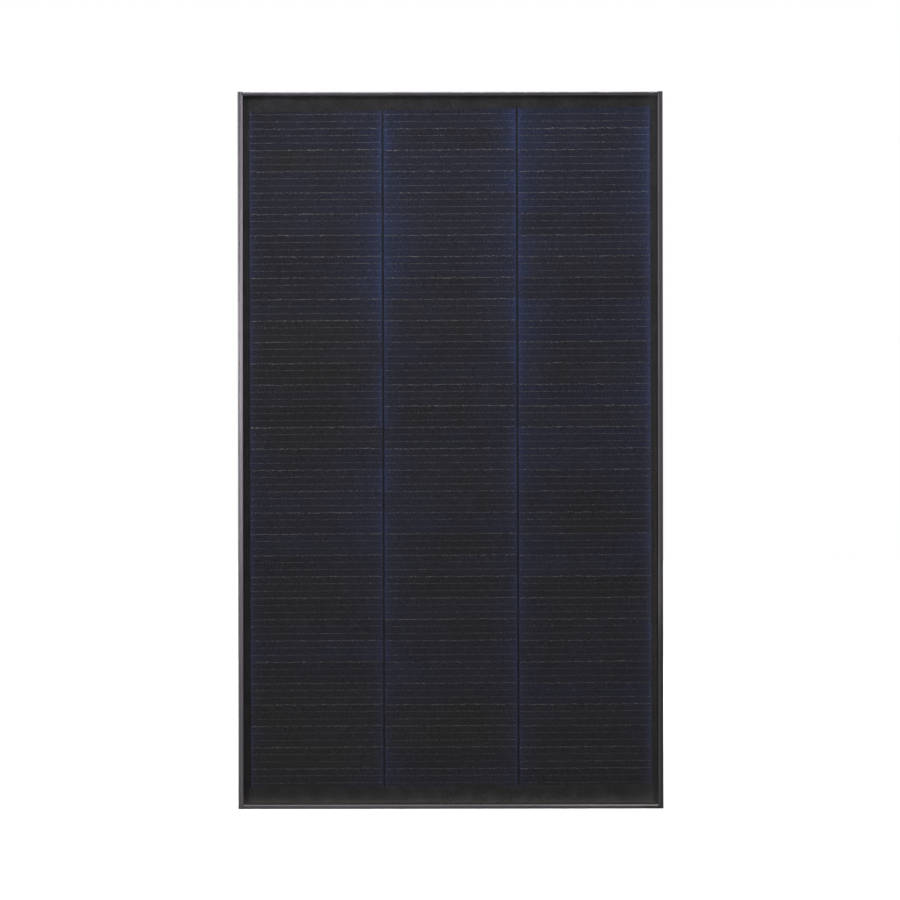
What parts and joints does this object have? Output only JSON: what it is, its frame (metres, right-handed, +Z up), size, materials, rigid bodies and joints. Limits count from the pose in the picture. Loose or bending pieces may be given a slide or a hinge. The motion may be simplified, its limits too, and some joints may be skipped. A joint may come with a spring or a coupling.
{
  "type": "solar panel",
  "caption": "Framed all-black solar panel with shingled cells under glass, and a hinged junction box with two cable glands on its back.",
  "frame": {"origin": "centre of the pattern of mounting holes, on the back plane of the frame", "axes": "+X to the right seen from the glass side, +Z up along the long side, +Y out of the back, glass facing -Y"},
  "size_m": [0.51, 0.03, 0.86],
  "materials": {
    "frame": "satin black anodised extrusion",
    "screw": "plain stainless steel",
    "sealant": "cured black silicone",
    "glass": "low-iron tempered glass, lightly textured",
    "film": "clear laminating film",
    "cell": "dark blue-black silicon with a nitride coating",
    "adhesive": "silver-filled conductive adhesive",
    "ribbon": "tinned copper ribbon",
    "tape": "black polyester strip",
    "backsheet": "black laminated polymer sheet",
    "label": "blank silver polyester label",
    "box": "fine-textured black moulding",
    "rubber": "soft black rubber",
    "terminal": "tin-brushed brass",
    "diode": "moulded epoxy"
  },
  "bodies": {
    "panel": {"left_rail": "frame", "right_rail": "frame", "top_rail": "frame", "bottom_rail": "frame", "corner_screws_top_left": "screw", "corner_screws_top_right": "screw", "corner_screws_bottom_left": "screw", "corner_screws_bottom_right": "screw", "terminal_screws": "screw", "edge_sealant": "sealant", "junction_box_pad": "sealant", "front_glass": "glass", "front_film": "film", "rear_film": "film", "cell_string_left": "cell", "cell_string_middle": "cell", "cell_string_right": "cell", "cell_adhesive_left": "adhesive", "cell_adhesive_middle": "adhesive", "cell_adhesive_right": "adhesive", "top_bus_ribbon": "ribbon", "bottom_bus_ribbon": "ribbon", "top_string_tabs": "ribbon", "bottom_string_tabs": "ribbon", "positive_lead": "ribbon", "negative_lead": "ribbon", "diode_leads": "ribbon", "top_cover_strip": "tape", "bottom_cover_strip": "tape", "lead_insulation": "tape", "backsheet": "backsheet", "rating_label": "label", "junction_box_base": "box", "gland_body_left": "box", "gland_body_right": "box", "gland_nut_left": "box", "gland_nut_right": "box", "gland_locknut_left": "box", "gland_locknut_right": "box", "gland_seal_left": "rubber", "gland_seal_right": "rubber", "positive_terminal": "terminal", "negative_terminal": "terminal", "cable_clamps": "terminal", "bypass_diode": "diode"},
    "lid": {"junction_box_lid": "box", "lid_gasket": "rubber"}
  },
  "joints": [
    {"name": "lid_hinge", "type": "hinge", "parent": "panel", "child": "lid", "pos_m": [0, -0.0072, 0.3664], "axis": [1, 0, 0], "range_deg": [0, 110]}
  ]
}
